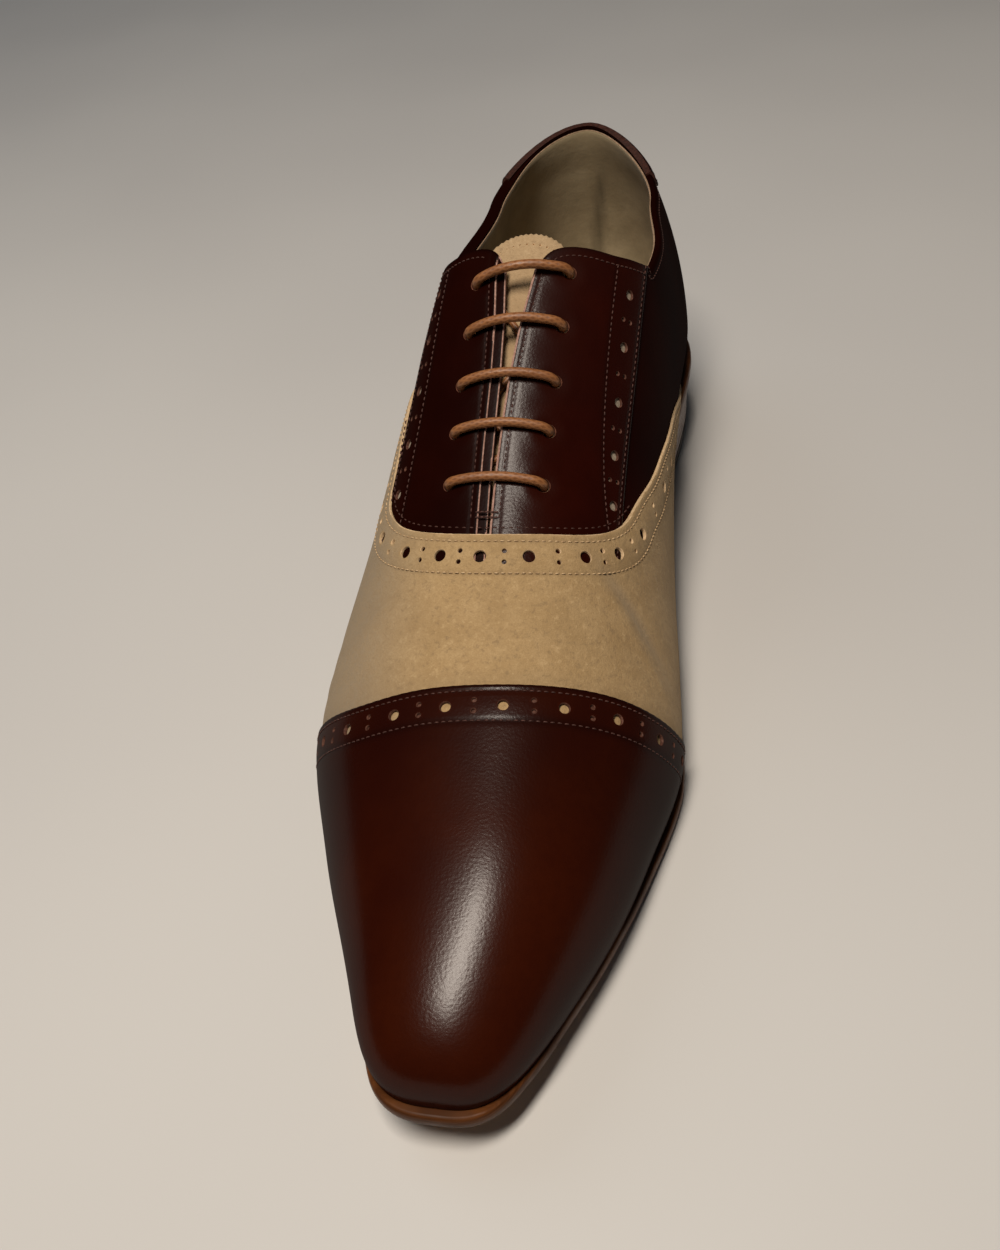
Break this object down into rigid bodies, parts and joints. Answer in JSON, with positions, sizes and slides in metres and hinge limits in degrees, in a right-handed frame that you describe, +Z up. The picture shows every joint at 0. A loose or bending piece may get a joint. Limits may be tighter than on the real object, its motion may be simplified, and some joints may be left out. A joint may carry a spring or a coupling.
{
  "type": "spectator shoe",
  "caption": "Right lace-up spectator dress shoe: hollow two-tone leather upper with toe cap, suede vamp and brogued facings on a leather sole with a stacked heel.",
  "frame": {"origin": "on the floor, under the middle of the shoe's length and width", "axes": "+X to the inner side of the foot, -Y to the toe, +Z up"},
  "size_m": [0.1004, 0.3086, 0.1082],
  "materials": {
    "upper_leather": "polished dark reddish-brown calf, with a sand suede vamp",
    "lining_leather": "plain beige lining leather",
    "sole_leather": "burnished natural sole leather",
    "heel_leather": "stacked and burnished leather lifts",
    "top_piece_rubber": "plain dark rubber",
    "tongue_suede": "cream suede",
    "lace_cord": "round waxed cotton, tan"
  },
  "bodies": {
    "root": {"upper": "upper_leather", "insole": "lining_leather", "outsole": "sole_leather", "heel_stack": "heel_leather", "heel_top_piece": "top_piece_rubber", "tongue": "tongue_suede", "lace_bar_1": "lace_cord", "lace_bar_2": "lace_cord", "lace_bar_3": "lace_cord", "lace_bar_4": "lace_cord", "lace_bar_5": "lace_cord"}
  },
  "joints": []
}
